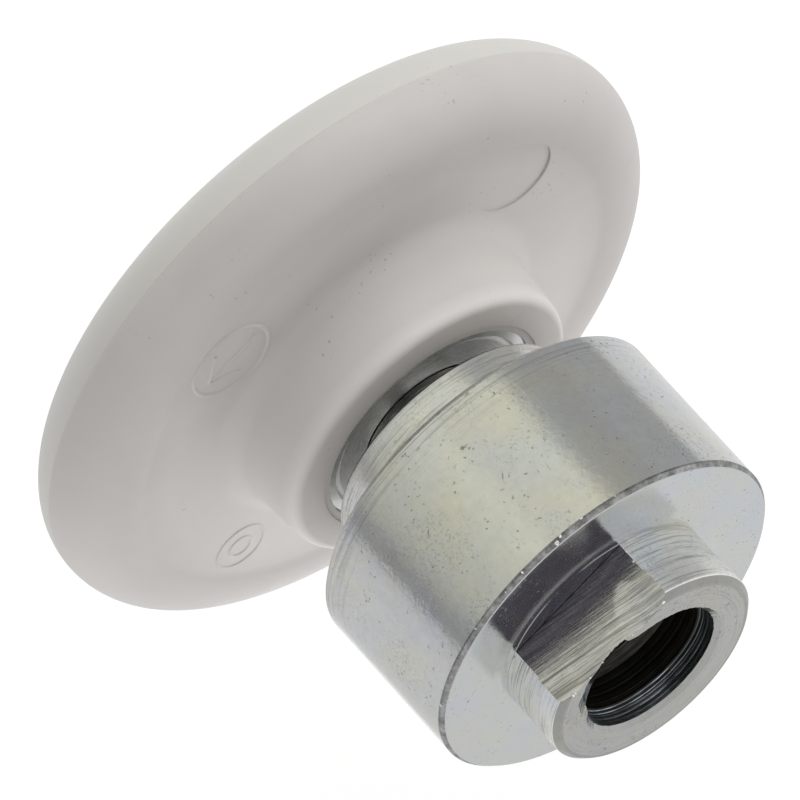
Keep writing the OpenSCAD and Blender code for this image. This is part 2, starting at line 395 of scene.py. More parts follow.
def zinc(name, lines=0.0, fine=9000.0, roughness=0.16, tint=ZINC, pits=0.5, streaks=0.0, grain=1.0,
         lines_from=None, dents=()):
    """Bright zinc plate over a turned surface. The tool lines may start at a place along the axis, in mm."""
    s = Shader(bpy.data.materials.new(name))
    place = s.place()
    x, y, z = s.xyz(place)
    cloud = s.noise(place, 180.0, detail=3.0, rough=0.55)
    cool = (tint[0] * 0.95, tint[1] * 0.98, tint[2] * 1.03, 1)
    warm = (tint[0] * 1.01, tint[1] * 1.0, tint[2] * 0.94, 1)
    colour = s.mix(s.between(cloud, 0.35, 0.65), cool, warm)
    rings = turned(s, fine)
    share = 1.0
    if lines_from is not None:
        share = s.between(y, lines_from * MM, (lines_from + LINES_FADE) * MM)
    if streaks:
        streak = s.between(rings, 0.50, 0.66, 0.0, streaks)
        colour = s.mix(s.math("MULTIPLY", streak, share), colour, grey(STREAK_TONE))
    pit = s.between(s.noise(place, 2600.0, detail=2.0, rough=0.5), 0.655, 0.70)
    rare = s.between(s.noise(place, 300.0, detail=2.0, rough=0.5), 0.42, 0.62)
    dark = s.math("MULTIPLY", pit, rare)
    colour = s.mix(s.math("MULTIPLY", dark, pits), colour, grey(PIT_TONE))
    cluster = s.between(s.noise(place, 130.0, detail=3.0, rough=0.6), 0.47, 0.62)
    speck = s.between(s.noise(place, 4200.0, detail=2.0, rough=0.6), 0.54, 0.64, 0.0, 0.34 * grain)
    colour = s.mix(s.math("MULTIPLY", speck, cluster), colour, grey(SPECK_TONE))
    wear = s.noise(place, 700.0, detail=4.0, rough=0.6)
    rough = s.between(wear, 0.3, 0.7, roughness * 0.8, roughness * 1.3)
    peel = s.noise(place, 2300.0, detail=3.0, rough=0.6)
    normal = s.bump(peel, 0.22 * grain, 0.00006)
    normal = s.bump(s.noise(place, 800.0, detail=2.0, rough=0.5), 0.14 * grain, 0.0001, normal)
    mottle = s.between(s.noise(place, 1300.0, detail=3.0, rough=0.6), 0.3, 0.7, 0.0, 0.14 * grain)
    colour = s.mix(mottle, colour, grey(MOTTLE_TONE))
    if lines:
        normal = s.bump(rings, s.math("MULTIPLY", share, lines), 0.00002, normal)
    if dents:
        dent = nicks(s, x, y, z, dents)
        colour = s.mix(s.math("MULTIPLY", dent, 0.55), colour, grey(DENT_TONE))
        dark = s.math("MAXIMUM", dark, dent)
    normal = s.bump(s.math("SUBTRACT", 1.0, dark), 0.5, 0.00005, normal)
    return s.output(s.principled(Base_Color=colour, Metallic=1.0, Roughness=rough, Normal=normal))


# Grey tones by the value of a noise, as (value, tone).
MILLED_TONES = ((0.35, 0.16), (0.43, 0.44), (0.50, 0.60), (0.64, 0.78))
RIM_TONES = ((0.36, 0.16), (0.50, 0.30), (0.62, 0.42))


def milled(name):
    """The straight slanting marks that a milling cutter leaves on the flat."""
    s = Shader(bpy.data.materials.new(name))
    place = s.place()
    x, y, _ = s.xyz(place)
    across = s.math("MULTIPLY_ADD", x, MILLING_SLANT, y)
    along = s.math("MULTIPLY", x, 0.010)
    broad = s.noise(s.vector(across, along, 0.0), 1300.0, detail=3.0, rough=0.6)
    coarse = s.noise(s.vector(across, along, 0.4), 3300.0, detail=4.0, rough=0.65)
    fine = s.noise(s.vector(across, s.math("MULTIPLY", x, 0.03), 3.0), 9000.0, detail=3.0, rough=0.7)
    colour = s.ramp(coarse, MILLED_TONES)
    colour = s.mix(s.between(broad, 0.35, 0.65, 0.0, 0.35), colour, grey(0.70))
    colour = s.mix(s.between(fine, 0.50, 0.60, 0.0, 0.60), colour, grey(0.22))
    speck = s.between(s.noise(place, 3600.0, detail=2.0, rough=0.6), 0.60, 0.68, 0.0, 0.35)
    colour = s.mix(speck, colour, grey(0.26))
    normal = s.bump(y, 1.0, FLAT_SLOPE)
    normal = s.bump(broad, 0.08, 0.00010, normal)
    normal = s.bump(coarse, 0.45, 0.00003, normal)
    normal = s.bump(fine, 0.45, 0.00002, normal)
    normal = s.bump(s.noise(place, 3000.0, detail=3.0, rough=0.6), 0.02, 0.00006, normal)
    rough = s.between(fine, 0.3, 0.7, 0.10, 0.22)
    return s.output(s.principled(Base_Color=colour, Metallic=1.0, Roughness=rough, Normal=normal))


def rim(name):
    """The body's front edge: dulled, with small nicks and remains of burr."""
    s = Shader(bpy.data.materials.new(name))
    place = s.place()
    patch = s.noise(place, 900.0, detail=4.0, rough=0.65)
    fine = s.noise(place, 4000.0, detail=3.0, rough=0.6)
    colour = s.ramp(patch, RIM_TONES)
    colour = s.mix(s.between(fine, 0.52, 0.66, 0.0, 0.6), colour, grey(0.15))
    normal = s.bump(patch, 0.5, 0.0001)
    normal = s.bump(fine, 0.5, 0.00004, normal)
    return s.output(s.principled(Base_Color=colour, Metallic=1.0, Roughness=0.38, Normal=normal))


HIGHLIGHT_CORE, HIGHLIGHT_END = 0.12, 0.60      # how far the painted highlight reaches to each side, in radians
LIT_SIDE_REACH = 0.5                            # how far on, to one side, the wall is painted lighter instead: painted light
LINE_SHADE = 0.35                           # the tone between the tool lines
STAIN_SHADE = (0.62, 0.57, 0.50)


def bore(name, tint, light, roughness, lines, fine):
    """The bore's wall in the tint given, with tool lines, a painted highlight round one angle and painted
    light to one side of it.
    """
    s = Shader(bpy.data.materials.new(name))
    place = s.place()
    x, _, z = s.xyz(place)
    rings = turned(s, fine)
    # Painted highlight: lighter round one angle, in streaks along the tool lines, and painted light on one
    # side beyond it
    turn = s.math("ARCTAN2", s.math("MULTIPLY", x, -1.0), s.math("MULTIPLY", z, -1.0))
    middle = s.math("ABSOLUTE", s.math("SUBTRACT", turn, HIGHLIGHT_TURN))
    painted_highlight = s.between(middle, HIGHLIGHT_CORE, HIGHLIGHT_END, 1.0, 0.0)
    streaked = s.math("MULTIPLY", painted_highlight, s.between(rings, 0.46, 0.58, 1.0, 0.30))
    lit_side = s.between(turn, HIGHLIGHT_TURN, HIGHLIGHT_TURN + LIT_SIDE_REACH, 0.0, 0.45)
    colour = s.mix(s.math("MAXIMUM", streaked, lit_side), opaque(tint), opaque(light))
    colour = s.mix(s.between(rings, 0.48, 0.60, 0.0, 0.6), colour, opaque(tint, LINE_SHADE))
    stain = s.between(s.noise(place, 700.0, detail=4.0, rough=0.6), 0.45, 0.65, 0.0, 0.5)
    colour = s.mix(stain, colour, opaque([c * shade for c, shade in zip(tint, STAIN_SHADE)]))
    rough = s.between(rings, 0.3, 0.7, roughness * 0.8, roughness * 1.3)
    normal = s.bump(rings, lines, 0.00003)
    normal = s.bump(s.noise(place, 2600.0, detail=3.0, rough=0.6), 0.2, 0.00005, normal)
    return s.output(s.principled(Base_Color=colour, Metallic=1.0, Roughness=rough, Normal=normal))


STEEL_FINE = 12000.0
STEEL_SHADE = 0.86      # the tone of the darker clouds


def steel(name, tint, roughness, lines=0.12):
    """Ground, polished or pressed steel of the bearings."""
    s = Shader(bpy.data.materials.new(name))
    rings = turned(s, STEEL_FINE)
    cloud = s.between(s.noise(s.place(), 400.0, detail=4.0, rough=0.6), 0.35, 0.7)
    colour = s.mix(cloud, opaque(tint), opaque(tint, STEEL_SHADE))
    rough = s.between(rings, 0.3, 0.7, roughness * 0.8, roughness * 1.25)
    normal = s.bump(rings, lines, 0.00001)
    return s.output(s.principled(Base_Color=colour, Metallic=1.0, Roughness=rough, Normal=normal))


PLASTIC_TINTS = (0.70, 0.668, 0.648), (0.73, 0.698, 0.673)
# Painted light: the hub's face, in the gap behind the spacer, takes this lighter tint
HUB_FACE_PAINTED_LIGHT = (0.84, 0.80, 0.775)
TREAD_LIGHT_TINT = (0.78, 0.765, 0.72)        # painted light: the tread is lighter beyond the seam
DIRT_TINT = (0.30, 0.27, 0.24)
HUB_LIGHT_FADE = (0.3, 2.0)              # where that painted light fades out, from the hub's face along the axis, in mm
SEAM_FADE = 0.2                         # to each side of the seam, in mm
RIM_PAINTED_SHADE = 0.93                        # painted shade: the rim's colour is darkened beyond the web
RIM_SHADE_FADE = (21, 24)               # by the distance from the axis, in mm


def plastic(name):
    """Satin moulded plastic: a trace of mottling and a few dark specks."""
    s = Shader(bpy.data.materials.new(name))
    place = s.place()
    x, y, z = s.xyz(place)
    cloud = s.noise(place, 90.0, detail=4.0, rough=0.55)
    colour = s.mix(s.between(cloud, 0.35, 0.65), *[opaque(tint) for tint in PLASTIC_TINTS])
    # Painted light on the hub's face, fading out along the axis
    hub_face_light = s.between(y, *[(HUB_FACE + fade) * MM for fade in HUB_LIGHT_FADE], 1.0, 0.0)
    colour = s.mix(hub_face_light, colour, opaque(HUB_FACE_PAINTED_LIGHT))
    # Painted light: the tread beyond the seam takes a lighter tint
    tread = s.between(y, (TREAD_Y - SEAM_FADE) * MM, (TREAD_Y + SEAM_FADE) * MM)
    colour = s.mix(tread, colour, opaque(TREAD_LIGHT_TINT))
    away = s.vector(x, 0.0, z)
    out = s.add("ShaderNodeVectorMath", outputs="Value", operation="LENGTH", inputs={0: away})
    # Painted shade: the rim is darkened, fading in by the distance from the axis
    rim_shade = s.between(out, *[fade * MM for fade in RIM_SHADE_FADE])
    colour = s.mix(rim_shade, colour, grey(RIM_PAINTED_SHADE), blend="MULTIPLY")
    speck = s.between(s.noise(place, 2200.0, detail=1.0, rough=0.5), 0.70, 0.73)
    rare = s.between(s.noise(place, 150.0, detail=2.0, rough=0.5), 0.58, 0.64)
    dirt = s.math("MULTIPLY", s.math("MULTIPLY", speck, rare), 0.4)
    colour = s.mix(dirt, colour, opaque(DIRT_TINT))
    rough = s.between(s.noise(place, 500.0, detail=3.0, rough=0.6), 0.3, 0.7, 0.34, 0.46)
    normal = s.bump(s.noise(place, 260.0, detail=3.0, rough=0.5), 0.05, 0.0002)
    normal = s.bump(s.noise(place, 3500.0, detail=2.0, rough=0.5), 0.03, 0.00003, normal)
    return s.output(s.principled(Base_Color=colour, Roughness=rough, Normal=normal))


BODY_DENTS = ((14.1, 7.8, 0.95, 0.16, 33), (-12, 9.0, 0.7, 0.14, 50), (1.3, 9.6, 0.26, 0.22, 20),
              (63, 14.5, 0.8, 0.16, -40))
BODY = zinc("plated_body", pits=0.7, roughness=0.13, grain=1.2, lines=0.9, fine=5000.0, streaks=0.55,
            lines_from=12.6, dents=BODY_DENTS)
# Painted shade: the shoulder face takes a darker tint than the same plating on the body
FACE = zinc("plated_face", lines=0.50, fine=6000.0, roughness=0.15, tint=(0.565, 0.575, 0.575), pits=0.6,
            grain=0.5)
# Painted light: the boss's side takes a lighter tint than the same plating on the body
BOSS = zinc("plated_boss", lines=1.7, fine=5000.0, roughness=0.32, tint=(0.94, 0.94, 0.92), pits=0.2,
            streaks=0.7)
# Painted light: the body's rear face, collar, neck and spigot take a lighter tint than the same plating,
# which also lights the gap by the hub
SIDE = zinc("plated_turned_side", lines=0.8, fine=6000.0, roughness=0.20, pits=0.2, streaks=0.6,
            tint=(0.84, 0.84, 0.82))
# Painted shade: the boss's end face takes a darker tint than the same plating
END = zinc("plated_end", lines=0.60, fine=9000.0, roughness=0.24, tint=(0.43, 0.425, 0.405), pits=0.6,
           streaks=0.5, grain=2.2)
# Painted shade: the boss's tip chamfer is darkened further, to merge with the end face
TIP = zinc("plated_tip", lines=0.40, fine=9000.0, roughness=0.34, tint=(0.34, 0.336, 0.32), pits=0.3,
           grain=1.6)
RIM = rim("dulled_rim")
BURR = steel("bright_burr", tint=(0.95, 0.95, 0.94), roughness=0.16, lines=0.05)
# Painted shade: the mouth's and the bore's tints are far darker than the plating, for the shade inside the
# hole; light is the colour of each one's painted highlight
MOUTH = bore("bored_mouth", tint=(0.20, 0.23, 0.24), light=(0.85, 0.93, 1.0), roughness=0.36, lines=0.8,
             fine=4200.0)
BORE = bore("dark_bore", tint=(0.052, 0.048, 0.040), light=(0.06, 0.06, 0.058), roughness=0.50, lines=0.3,
            fine=5000.0)
MILLED = milled("milled_flat")
PLASTIC = plastic("moulded_plastic")

# ---- Spacer ----

Z_BODY, Z_FACE, Z_SIDE, Z_END, Z_BORE, Z_MILLED, Z_BOSS, Z_MOUTH, Z_RIM, Z_TIP = range(10)
ZONE_MATERIALS = (BODY, FACE, SIDE, END, BORE, MILLED, BOSS, MOUTH, RIM, TIP)
TIP_R = BOSS_R - BOSS_CHAMFER
END_R = TIP_R - 0.3     # where the plain end face stops
# Scratches round the bore, each (y, depth) in mm. In the mouth, y is counted from its end outwards.
ENTRY_SCRATCHES = ((-1.9, 0.02), (-2.4, 0.012), (-2.75, 0.02), (-3.35, 0.01), (-3.6, 0.02), (-3.8, 0.015))
MOUTH_SCRATCHES = ((0.35, 0.03), (0.62, 0.015), (1.0, 0.02), (1.45, 0.01))

# The flat's end edge: how far it is rolled over, and how far it is chipped back, by place across, in mm.
EDGE_ROLL = ((-4.9, 0), (-3.5, 0.25), (-2.4, 0.07), (-1.8, 0), (1.6, 0), (2.2, 0.26), (2.9, 0.46),
             (3.9, 0.60), (4.8, 0.42), (5.7, 0.15), (6.2, 0))
EDGE_CHIP = ((-2.2, 0), (-1.1, 0.2), (0, 0.29), (1.2, 0.19), (1.9, 0))
# The mouth's outer edge, by angle from the flat's middle in degrees: it breaks out under the flat.
MOUTH_EDGE = ((-180, 6.95), (-80, 6.93), (-66, 7.0), (-54, 7.55), (-43, 8.1), (-33, 8.12), (-25, 8.36),
              (8, 8.1), (10, 7.7), (14, 7.34), (19, 7.16), (54, 7.1), (75, 6.95), (180, 6.95))
BREAK_DEPTH = 1.2       # where the edge lies this far out from the mouth, the break is painted dark as shade
BREAK_FROM = -5         # and only where x is above this
BREAK_SLOPE = 0.8       # how deep the break goes for each mm that it goes out
UNDER_FLAT = 60         # the mouth's edge can meet the flat's within this angle from its middle, in degrees
EDGE_GAP = 0.03         # what is left between the two edges
CHIP_SPREAD = 0.3       # the chips reach the mouth's edge where the gap is smaller than this


def boss_angles(r):
    """Angles of a loop round the boss; the first FLAT_SEGMENTS samples lie on the milled flat."""
    edge = math.acos(FLAT / r)
    flat = np.linspace(-edge, edge, FLAT_SEGMENTS + 1)[:-1]
    rest = np.linspace(edge, 2 * math.pi - edge, SEGMENTS - FLAT_SEGMENTS + 1)[:-1]
    return np.concatenate([flat, rest])


ON_FLAT = np.arange(SEGMENTS) < FLAT_SEGMENTS


def boss_ring(r, y):
    """A loop round the boss, cut off at the milled flat."""
    angles = boss_angles(r)
    return ring(np.where(ON_FLAT, FLAT / np.cos(angles), r), y, angles)


def rolled(x):
    """How far the flat's end edge is rolled over at x, in mm, evened out over 1 mm."""
    near = [np.interp(x + shift, *zip(*EDGE_ROLL)) for shift in np.linspace(-0.5, 0.5, 9)]
    return np.mean(near, axis=0)


def chipped(x):
    """How far the flat's end edge is chipped back at x, in mm, with a slight waviness."""
    return np.interp(x, *zip(*EDGE_CHIP)) * (1 + 0.10 * np.sin(x * 11.3))


ROLL_REACH = (1.5, 4.5)     # how deep the roll reaches, in mm: the least, and more for each mm of roll
ROLL_POWER = 1.3
CHIP_REACH = 0.6            # how deep the chips reach


def boss_end_ring(r, depth):
    """A loop near the boss's end, depth behind its face, with the flat's end edge rolled and chipped."""
    loop = boss_ring(r, BOSS_END + depth)
    drop = rolled(loop[:, 0])
    fade = np.clip(1 - depth / (ROLL_REACH[0] + ROLL_REACH[1] * drop), 0, 1) ** ROLL_POWER
    loop[:, 2] -= np.where(loop[:, 2] > FLAT / 2, drop * fade, 0)
    loop[:, 1] += np.where(ON_FLAT, chipped(loop[:, 0]) * max(0, 1 - depth / CHIP_REACH), 0)
    return loop


def mouth_rings():
    """The loops at the two edges of the mouth's chamfer, the inner one first, both a little uneven."""
    a = boss_angles(TIP_R)
    off = (np.degrees(a) + 180) % 360 - 180
    under_flat = np.abs(off) < UNDER_FLAT
    r = np.interp(off, *zip(*MOUTH_EDGE)) + 0.02 * np.sin(a * 61) + 0.015 * np.sin(a * 23)
    x = r * np.sin(a)
    line = (FLAT - rolled(x)) / np.clip(np.cos(a), 0.3, 1) - EDGE_GAP
    r = np.where(under_flat, np.minimum(r, line), r)
    x = r * np.sin(a)
    reach = np.clip(1 - (line - r) / CHIP_SPREAD, 0, 1) * under_flat
    outer = ring(r, BOSS_END + chipped(x) * reach, a)
    depth = np.maximum(MOUTH_CHAMFER, BREAK_SLOPE * (r - MOUTH_R))
    inner = ring(MOUTH_R + 0.025 * np.sin(a * 37) * np.sin(a * 11), BOSS_END + depth, a)
    return inner, outer


def thread_ring(y):
    """A loop in the thread: the groove winds round the axis as a sharp-sided helix."""
    a = even_angles()
    turn = (y / THREAD_PITCH - a / (2 * math.pi)) % 1
    groove = np.clip(THREAD_BOTTOM - np.abs(turn - 0.5) * THREAD_STEEP, 0, 1)
    return ring(CORE_R + THREAD_DEPTH * groove, y)


def scratched(r, places):
    """An outline along a bore of radius r, with a scratch at each (y, depth)."""
    points = []
    for y, depth in places:
        points += [(r, y + SCRATCH), (r + depth, y), (r, y - SCRATCH)]
    return points


def spacer():
    """The spacer from the bore's bottom round the outside to the spigot's tip."""
    loops, zones = [], []

    def strip(points, zone):
        """Loops through the points; the first one may be where the last strip ended."""
        first = ring(*points[0])
        if loops and np.allclose(loops[-1], first):
            zones[-1] = zone
            points = points[1:]
        for r, y in points:
            loops.append(ring(r, y))
            zones.append(zone)

    drill_tip = THREAD_END + CORE_R / math.tan(DRILL_POINT)
    strip([(AXIS_R, drill_tip), (CORE_R, THREAD_END)], Z_BORE)
    for y in np.linspace(THREAD_END - THREAD_MARGIN, THREAD_MARGIN, THREAD_LOOPS):
        loops.append(thread_ring(y))
        zones.append(Z_BORE)
    mouth_end = BOSS_END + MOUTH_L
    mouth_start = (MOUTH_R - 0.05, mouth_end + 0.05)
    entry = [(CORE_R, 0), (ENTRY_R, CORE_R - ENTRY_R)] + scratched(ENTRY_R, ENTRY_SCRATCHES)
    strip(rounded(entry) + [(ENTRY_R, mouth_end + 0.12), mouth_start], Z_BORE)
    wall = scratched(MOUTH_R, [(mouth_end - y, depth) for y, depth in MOUTH_SCRATCHES])
    strip([mouth_start, (MOUTH_R, mouth_end)] + wall, Z_MOUTH)
    inner, outer = mouth_rings()
    loops += [inner, outer, boss_end_ring(END_R, 0.0)]
    side_zone = np.where(ON_FLAT, Z_MILLED, Z_BOSS)
    tip_zone = np.where(ON_FLAT, Z_MILLED, Z_TIP)
    # Painted shade: on the flat, the boss's foot takes the dark bore material, a dark line where the flat
    # meets the shoulder
    foot_shade_zone = np.where(ON_FLAT, Z_BORE, Z_BOSS)
    # Painted shade: where the mouth's edge breaks far out under the flat, the break takes the dark bore
    # material
    far_out = np.linalg.norm(outer[:, ::2], axis=1) > MOUTH_R + BREAK_DEPTH
    break_shade = np.where(far_out & (outer[:, 0] > BREAK_FROM), Z_BORE, Z_END)
    zones += [break_shade, Z_END, tip_zone]
    foot = FLAT_FLOOR - 0.05
    sides = rounded([
        (END_R, BOSS_END), (TIP_R, BOSS_END, 0.25), (BOSS_R, BOSS_END + BOSS_CHAMFER, 0.35),
        (BOSS_R, RELIEF_END, 0.04), (BOSS_R - RELIEF, RELIEF_END + RELIEF, 0.04),
        (BOSS_R - RELIEF, foot), (BOSS_R - RELIEF, FLAT_FLOOR)])[1:]
    for r, y in subdivided(sides, 0.2):
        loops.append(boss_end_ring(r, y - BOSS_END))
        if y < BOSS_END + BOSS_CHAMFER * 0.8:
            zones.append(tip_zone)
        elif y > foot - 0.01:
            zones.append(foot_shade_zone)
        else:
            zones.append(side_zone)
    zones[-1] = Z_FACE
    strip([(BOSS_R, FLAT_FLOOR)], Z_FACE)
    rim_start = (BODY_R - RIM_CHAMFER + 0.06, 0.06)
    rim_end = (BODY_R, RIM_CHAMFER + 0.2)
    strip(subdivided(rounded([
        (BOSS_R, -ROOT_STEP), (ROOT_R, -ROOT_STEP), (ROOT_OUTER_R, 0), (BODY_R - RIM_CHAMFER, 0, 0.10),
        rim_start]), 0.8), Z_FACE)
    strip(subdivided(rounded([rim_start, (BODY_R, RIM_CHAMFER, 0.12), rim_end]), 0.1), Z_RIM)
    strip(subdivided(rounded([
        rim_end, (BODY_R, BODY_END - REAR_CHAMFER, 0.12),
        (BODY_R - REAR_CHAMFER, BODY_END, 0.12), (BODY_R - 1, BODY_END)]), 2), Z_BODY)
    strip(subdivided(rounded([
        (BODY_R - 1, BODY_END), (COLLAR_R, BODY_END, 0.15), (COLLAR_R, COLLAR_END - COLLAR_CHAMFER, 0.06),
        (COLLAR_R - COLLAR_CHAMFER, COLLAR_END, 0.06), (NECK_R, COLLAR_END, 0.2),
        (NECK_R, BEARING_START, 0.1), (SPIGOT_R, BEARING_START), (SPIGOT_R, BEARINGS_END)]), 2), Z_SIDE)
    strip(rounded([
        (SPIGOT_R, BEARINGS_END), (CLIP_GROOVE_R, BEARINGS_END), (CLIP_GROOVE_R, CLIP_GROOVE_END),
        (SPIGOT_R, CLIP_GROOVE_END), (SPIGOT_R, SPIGOT_TIP - SPIGOT_CHAMFER, 0.1),
        (SPIGOT_R - SPIGOT_CHAMFER, SPIGOT_TIP, 0.1), (1.0, SPIGOT_TIP), (AXIS_R, SPIGOT_TIP)]), Z_SIDE)
    obj = loft("turned_spacer", loops, zones[:-1])
    for material in ZONE_MATERIALS:
        obj.data.materials.append(material)
    return obj


spacer_piece = spacer()
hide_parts("spacer")
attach(spacer_piece, "axle")


def burrs(name, places, seed):
    """Small bright remains of burr, each (x, y, z, size) in mm, sunk half into the surface."""
    rng = np.random.default_rng(seed)
    bm = bmesh.new()
    for x, y, z, size in places:
        made = bmesh.ops.create_icosphere(bm, subdivisions=2, radius=size / 2 * MM)["verts"]
        stretch = Vector(rng.uniform(0.7, 1.4, 3))
        for vertex in made:
            vertex.co = vertex.co * stretch * rng.uniform(0.75, 1.2) + Vector((x, y, z)) * MM
    mesh = bpy.data.meshes.new(name)
    bm.to_mesh(mesh)
    bm.free()
    mesh.materials.append(BURR)
    obj = placed(name, mesh)
    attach(obj, "axle")


def on_rim(angle, y, size):
    """A burr on the body's front edge, from its angle in degrees."""
    a = math.radians(angle)
    r = BODY_R - max(0, RIM_CHAMFER - y)
    return r * math.sin(a), y, r * math.cos(a), size


# Burrs on the body's front edge, as (angle in degrees, y, size), and at the flat, as (x, y, z, size).
RIM_BURRS = ((0.3, 0.34, 0.34), (12.7, 0.22, 0.36), (14.7, 0.43, 0.30), (16.5, 0.59, 0.16), (22.3, 0.5, 0.30),
             (-7, 0.3, 0.14), (-21, 0.4, 0.16), (34, 0.45, 0.14), (-52, 0.4, 0.16), (61, 0.3, 0.14))
FLAT_BURRS = ((-5.0, BOSS_END + 0.05, FLAT, 0.30), (-4.75, BOSS_END + 0.02, FLAT - 0.02, 0.22),
              (5.5, BOSS_END + 0.1, 7.76, 0.30), (5.7, BOSS_END + 0.25, 7.8, 0.16), (6.12, -0.5, FLAT, 0.12),
              (6.12, -0.9, FLAT, 0.14), (6.14, -1.3, FLAT, 0.12), (6.0, -2.0, FLAT, 0.16),
              (-3.0, BOSS_END + 0.05, 7.85, 0.14), (-1.4, BOSS_END + 0.16, FLAT, 0.14),
              (1.9, BOSS_END + 0.04, 7.8, 0.14), (3.6, BOSS_END + 0.02, 7.42, 0.10))
burrs("rim_burrs", [on_rim(*place) for place in RIM_BURRS], seed=3)
burrs("flat_burrs", FLAT_BURRS, seed=8)

# ---- Wheel ----


def rim_fillet(web, side, r):
    """Centre of the fillet between a web's face and the round rim, and its heading to the rim's centre."""
    y = web + side * r
    x = RIM_CENTRE - math.sqrt((RIM_R + r) ** 2 - (y - TREAD_Y) ** 2)
    return (x, y), math.degrees(math.atan2(TREAD_Y - y, RIM_CENTRE - x))


def wheel():
    """The wheel's closed outline, turned round the axis."""
    near, near_heading = rim_fillet(NEAR_WEB, -1, RIM_FILLET)
    far, far_heading = rim_fillet(FAR_WEB, 1, FAR_FILLET)
    hub = rounded([
        (LIP_R, BEARING_START), (LIP_R, HUB_FACE + LIP_STEP, 0.06), (BEARING_R, HUB_FACE + LIP_STEP, 0.04),
        (BEARING_R, HUB_FACE, 0.05), (HUB_R, HUB_FACE, HUB_EDGE_R), (HUB_ROOT, NEAR_WEB, HUB_FILLET),
        (near[0], NEAR_WEB)], steps=10)
    rim_start = near_heading + 180
    rim_end = far_heading + 180 + 360
    rim = (arc(near, RIM_FILLET, 90, near_heading, 6)[1:]
           + arc((RIM_CENTRE, TREAD_Y), RIM_R, rim_start, 360 - SEAM_ANGLE, 40)[1:]
           + [(WHEEL_R - SEAM_DEPTH, TREAD_Y)]
           + arc((RIM_CENTRE, TREAD_Y), RIM_R, 360 + SEAM_ANGLE, rim_end, 40)
           + arc(far, FAR_FILLET, far_heading, -90, 8)[1:])
    inside = rounded([
        (far[0], FAR_WEB), (HUB_ROOT, FAR_WEB, FAR_FILLET), (FAR_HUB_R, FAR_CREST, FAR_FILLET / 2),
        (BEARING_R, FAR_CREST, 0.1), (LIP_R, BEARINGS_END + LIP_T, 0.06), (LIP_R, BEARINGS_END),
        (BEARING_R, BEARINGS_END), (BEARING_R, BEARING_START), (LIP_R, BEARING_START)], steps=8)[1:-1]
    outline = subdivided(hub + rim + inside, 1.5)
    obj = loft("moulded_wheel", [ring(r, y) for r, y in outline], closed=True)
    obj.data.materials.append(PLASTIC)
    return obj


def near_face(r):
    """Where the wheel's near face lies along the axis, at a radius between the hub and the rim."""
    near, heading = rim_fillet(NEAR_WEB, -1, RIM_FILLET)
    y = np.full_like(r, NEAR_WEB)
    contact = near[0] + RIM_FILLET * math.cos(math.radians(heading))
    bend = (r > near[0]) & (r <= contact)
    y = np.where(bend, near[1] + np.sqrt(np.clip(RIM_FILLET ** 2 - (r - near[0]) ** 2, 0, None)), y)
    crest = r > contact
    y = np.where(crest, TREAD_Y - np.sqrt(np.clip(RIM_R ** 2 - (r - RIM_CENTRE) ** 2, 0, None)), y)
    fillet_r = HUB_ROOT + HUB_FILLET / math.cos(HUB_DRAFT) - HUB_FILLET * math.tan(HUB_DRAFT)
    fillet_y = NEAR_WEB - HUB_FILLET
    hollow = fillet_y + np.sqrt(np.clip(HUB_FILLET ** 2 - (r - fillet_r) ** 2, 0, None))
    return np.where(r < fillet_r, hollow, y)


MARK_SUNK = 0.02        # how far a mark's edges lie below the face
MARK_KEEL = 0.1         # and how far its underside does


def ridge(name, path, width, height, closed):
    """A low rounded line moulded on the wheel's near face. path is its points as (x, z), in mm."""
    path = np.asarray(path, dtype=float)
    if closed:
        ahead, behind = np.roll(path, -1, 0), np.roll(path, 1, 0)
    else:
        ahead = np.vstack([path[1:], path[-1:]])
        behind = np.vstack([path[:1], path[:-1]])
    along = ahead - behind
    along /= np.linalg.norm(along, axis=1)[:, None]
    side = np.stack([-along[:, 1], along[:, 0]], axis=1)
    section = np.linspace(-0.5, 0.5, 9)
    rise = height * np.cos(section * math.pi) - MARK_SUNK
    loops = []
    for s, h in zip(section, rise):
        p = path + side * s * width
        y = near_face(np.hypot(p[:, 0], p[:, 1])) - h
        loops.append(np.stack([p[:, 0], y, p[:, 1]], axis=1))
    keel = near_face(np.hypot(path[:, 0], path[:, 1])) + MARK_KEEL
    loops.append(np.stack([path[:, 0], keel, path[:, 1]], axis=1))
    points = np.stack(loops)
    count, n = points.shape[:2]
    faces = []
    for i in range(count):
        for j in range(n if closed else n - 1):
            a, b = (i + 1) % count, (j + 1) % n
            faces.append((i * n + j, i * n + b, a * n + b, a * n + j))
    if not closed:
        faces.append([i * n for i in range(count)])
        faces.append([i * n + n - 1 for i in reversed(range(count))])
    mesh = solid(name, points.reshape(-1, 3), faces)
    smooth(mesh, MARK_SHARP)
    mesh.materials.append(PLASTIC)
    obj = placed(name, mesh)
    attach(obj, "wheel")


def circle_path(centre, r):
    """The points of a circle on the wheel's face."""
    steps = 96
    angles = np.radians(np.linspace(0, 360, steps + 1))[:-1]
    return [(centre[0] + r * math.sin(a), centre[1] + r * math.cos(a)) for a in angles]


